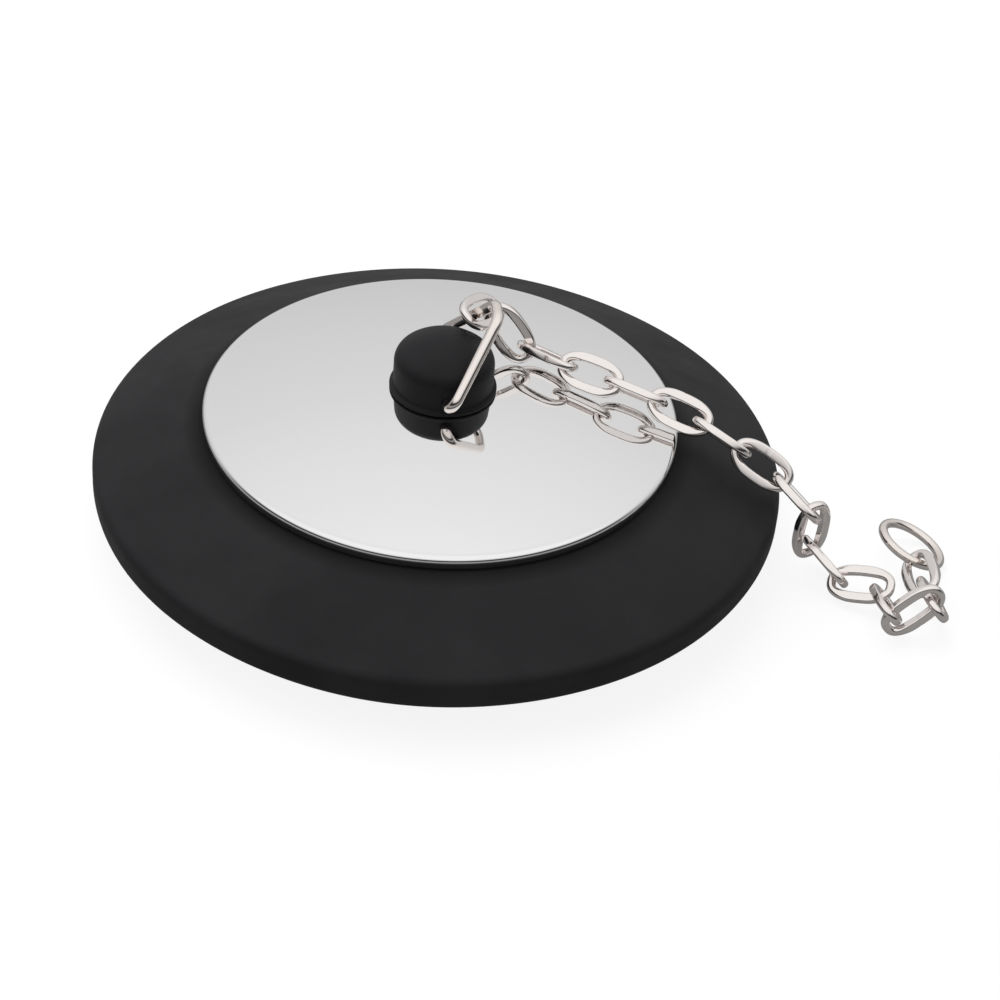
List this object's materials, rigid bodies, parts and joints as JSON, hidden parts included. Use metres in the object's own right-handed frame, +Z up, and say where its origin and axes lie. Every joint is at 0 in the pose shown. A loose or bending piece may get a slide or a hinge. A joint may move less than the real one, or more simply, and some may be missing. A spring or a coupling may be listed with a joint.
{
  "type": "drain stopper",
  "caption": "Round rubber sink stopper with a domed steel face plate, a knob with a wire bail, and a chain of oval links ending in a ring.",
  "frame": {"origin": "centre of the spigot's underside, on the surface that the stopper stands on", "axes": "+Z up along the stopper's axis, +X towards the side where the chain leaves"},
  "size_m": [0.1378, 0.11, 0.0394],
  "materials": {
    "rubber": "matt moulded black rubber",
    "polished_steel": "mirror-polished pressed stainless steel",
    "plated_wire": "bright nickel plate",
    "plated_chain": "bright nickel plate, flat faces"
  },
  "bodies": {
    "stopper": {"rubber_stopper": "rubber", "face_plate": "polished_steel"},
    "bail": {"wire_bail": "plated_wire"},
    "link_01": {"chain_link_01": "plated_chain"},
    "link_02": {"chain_link_02": "plated_chain"},
    "link_03": {"chain_link_03": "plated_chain"},
    "link_04": {"chain_link_04": "plated_chain"},
    "link_05": {"chain_link_05": "plated_chain"},
    "link_06": {"chain_link_06": "plated_chain"},
    "link_07": {"chain_link_07": "plated_chain"},
    "link_08": {"chain_link_08": "plated_chain"},
    "link_09": {"chain_link_09": "plated_chain"},
    "link_10": {"chain_link_10": "plated_chain"},
    "link_11": {"chain_link_11": "plated_chain"},
    "link_12": {"chain_link_12": "plated_chain"},
    "link_13": {"chain_link_13": "plated_chain"},
    "link_14": {"chain_link_14": "plated_chain"},
    "link_15": {"chain_link_15": "plated_chain"},
    "link_16": {"chain_link_16": "plated_chain"},
    "ring": {"end_ring": "plated_wire"}
  },
  "joints": [
    {"name": "bail_hinge", "type": "hinge", "parent": "stopper", "child": "bail", "pos_m": [0, 0, 0.02679], "axis": [0.1392, -0.9903, 0], "range_deg": [0, 75]},
    {"name": "link_01_hinge", "type": "hinge", "parent": "bail", "child": "link_01", "pos_m": [0.00398, 0.00621, 0.03419], "axis": [0.6091, -0.0498, 0.7915], "range_deg": [0, 90]},
    {"name": "link_02_hinge", "type": "hinge", "parent": "link_01", "child": "link_02", "pos_m": [0.008, 0.01002, 0.03133], "axis": [-0.0331, 0.9725, -0.2305], "range_deg": [-90, 0]},
    {"name": "link_03_hinge", "type": "hinge", "parent": "link_02", "child": "link_03", "pos_m": [0.01351, 0.0091, 0.0267], "axis": [0.2866, 0.4276, 0.8573], "range_deg": [-52, 0]},
    {"name": "link_04_hinge", "type": "hinge", "parent": "link_03", "child": "link_04", "pos_m": [0.02031, 0.00557, 0.02619], "axis": [0.2052, 0.7281, -0.6541], "range_deg": [-87, 0]},
    {"name": "link_05_hinge", "type": "hinge", "parent": "link_04", "child": "link_05", "pos_m": [0.0275, 0.00291, 0.02548], "axis": [-0.3124, -0.6452, -0.6972], "range_deg": [0, 90]},
    {"name": "link_06_hinge", "type": "hinge", "parent": "link_05", "child": "link_06", "pos_m": [0.0348, 0.00107, 0.02391], "axis": [0.0247, -0.7526, 0.658], "range_deg": [0, 90]},
    {"name": "link_07_hinge", "type": "hinge", "parent": "link_06", "child": "link_07", "pos_m": [0.04187, -0.00078, 0.02153], "axis": [0.4871, 0.5259, 0.6972], "range_deg": [-90, 5]},
    {"name": "link_08_hinge", "type": "hinge", "parent": "link_07", "child": "link_08", "pos_m": [0.04859, -0.00298, 0.0185], "axis": [-0.0041, -0.8543, 0.5198], "range_deg": [-8, 90]},
    {"name": "link_09_hinge", "type": "hinge", "parent": "link_08", "child": "link_09", "pos_m": [0.05496, -0.00522, 0.01487], "axis": [-0.6475, -0.3291, -0.6874], "range_deg": [-44, 68]},
    {"name": "link_10_hinge", "type": "hinge", "parent": "link_09", "child": "link_10", "pos_m": [0.05999, -0.00805, 0.01149], "axis": [-0.4902, 0.8714, 0.019], "range_deg": [-90, 35]},
    {"name": "link_11_hinge", "type": "hinge", "parent": "link_10", "child": "link_11", "pos_m": [0.06107, -0.00728, 0.00423], "axis": [-0.7048, -0.3817, -0.598], "range_deg": [-90, 15]},
    {"name": "link_12_hinge", "type": "hinge", "parent": "link_11", "child": "link_12", "pos_m": [0.06563, -0.0133, 0.0027], "axis": [-0.3738, -0.4472, 0.8126], "range_deg": [-90, 50]},
    {"name": "link_13_hinge", "type": "hinge", "parent": "link_12", "child": "link_13", "pos_m": [0.07152, -0.01701, 0.00336], "axis": [-0.6981, -0.2702, -0.6631], "range_deg": [-90, 41]},
    {"name": "link_14_hinge", "type": "hinge", "parent": "link_13", "child": "link_14", "pos_m": [0.07351, -0.02249, 0.0035], "axis": [-0.2234, 0.9657, -0.1322], "range_deg": [-23, 90]},
    {"name": "link_15_hinge", "type": "hinge", "parent": "link_14", "child": "link_15", "pos_m": [0.07937, -0.02088, 0.00537], "axis": [-0.7341, -0.2279, -0.6396], "range_deg": [-23, 90]},
    {"name": "link_16_hinge", "type": "hinge", "parent": "link_15", "child": "link_16", "pos_m": [0.07834, -0.0134, 0.00389], "axis": [-0.6682, -0.0115, 0.7439], "range_deg": [-87, 74]},
    {"name": "ring_hinge", "type": "hinge", "parent": "link_16", "child": "ring", "pos_m": [0.07751, -0.00577, 0.00325], "axis": [-0.3852, -0.1141, -0.9158], "range_deg": [-90, 90]}
  ]
}
